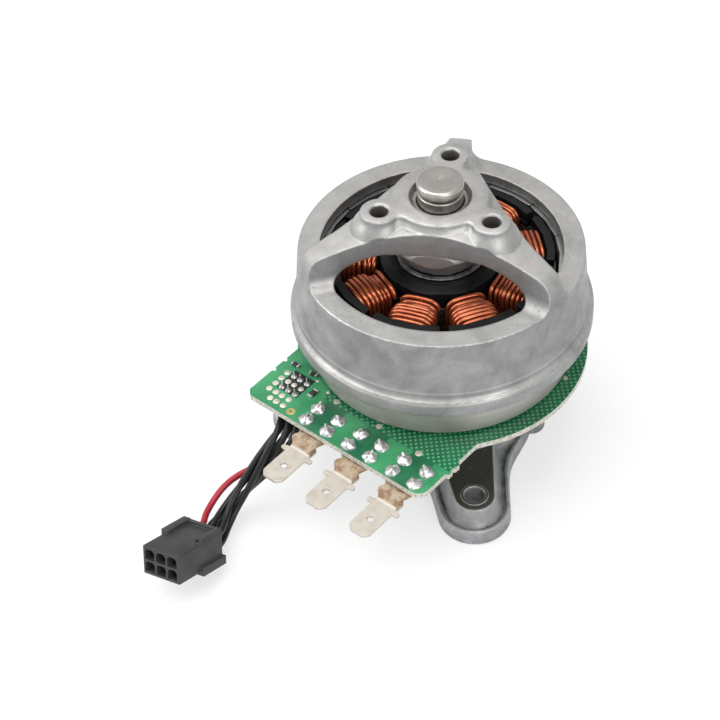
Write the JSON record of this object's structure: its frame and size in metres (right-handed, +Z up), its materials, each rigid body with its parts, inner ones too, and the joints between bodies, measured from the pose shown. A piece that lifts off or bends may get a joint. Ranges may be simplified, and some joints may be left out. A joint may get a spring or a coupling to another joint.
{
  "type": "pole saw motor",
  "caption": "Outer-rotor brushless motor with a spoked cast bell, open copper windings, a driver board with blade tabs, a short plug lead and a lobed cast base.",
  "frame": {"origin": "on the motor axis, in the plane of the base's underside", "axes": "+Z up along the motor axis toward the shaft's head; -Y toward the board's straight edge and its blade tabs"},
  "size_m": [0.0764, 0.1374, 0.0815],
  "materials": {
    "cast_aluminium": "as cast, satin, with machined faces",
    "base_aluminium": "as cast, darker grey",
    "bright_steel": "turned and ground",
    "bearing_steel": "ground",
    "lamination_steel": "punched laminations",
    "magnet_nickel": "plated, satin",
    "enamelled_copper": "enamelled copper wire, glossy",
    "black_nylon": "black, faint sheen",
    "green_board": "green solder mask over a glass-fibre board",
    "tinned_brass": "tin plated",
    "charcoal_plastic": "moulded, satin",
    "chip_black": "moulded, matt",
    "red_insulation": "red wire insulation",
    "black_insulation": "black wire insulation"
  },
  "bodies": {
    "stator": {"base_bracket": "base_aluminium", "dust_cap": "base_aluminium", "bearing_upper_outer": "bearing_steel", "bearing_lower_outer": "bearing_steel", "stator_core": "lamination_steel", "insulator_upper": "black_nylon", "insulator_lower": "black_nylon", "coil_1": "enamelled_copper", "coil_2": "enamelled_copper", "coil_3": "enamelled_copper", "coil_4": "enamelled_copper", "coil_5": "enamelled_copper", "coil_6": "enamelled_copper", "coil_7": "enamelled_copper", "coil_8": "enamelled_copper", "coil_9": "enamelled_copper", "circuit_board": "green_board", "board_screw_1": "bright_steel", "board_screw_2": "bright_steel", "board_screw_3": "bright_steel", "terminal_1": "tinned_brass", "terminal_2": "tinned_brass", "terminal_3": "tinned_brass", "rotor_sensor_1": "chip_black", "rotor_sensor_2": "chip_black", "rotor_sensor_3": "chip_black", "board_chip": "chip_black", "plug_housing": "charcoal_plastic", "wire_black_1": "black_insulation", "wire_black_2": "black_insulation", "wire_black_3": "black_insulation", "wire_black_4": "black_insulation", "wire_black_5": "black_insulation", "wire_red": "red_insulation"},
    "rotor": {"rotor_bell": "cast_aluminium", "flux_ring": "bright_steel", "magnet_01": "magnet_nickel", "magnet_02": "magnet_nickel", "magnet_03": "magnet_nickel", "magnet_04": "magnet_nickel", "magnet_05": "magnet_nickel", "magnet_06": "magnet_nickel", "magnet_07": "magnet_nickel", "magnet_08": "magnet_nickel", "magnet_09": "magnet_nickel", "magnet_10": "magnet_nickel", "magnet_11": "magnet_nickel", "magnet_12": "magnet_nickel", "magnet_13": "magnet_nickel", "magnet_14": "magnet_nickel", "motor_shaft": "bright_steel", "shaft_clip": "bright_steel", "bearing_upper_inner": "bearing_steel", "bearing_lower_inner": "bearing_steel"}
  },
  "joints": [
    {"name": "rotor_spin", "type": "hinge", "parent": "stator", "child": "rotor", "pos_m": [0, 0, 0.04], "axis": [0, 0, 1], "continuous": true}
  ]
}
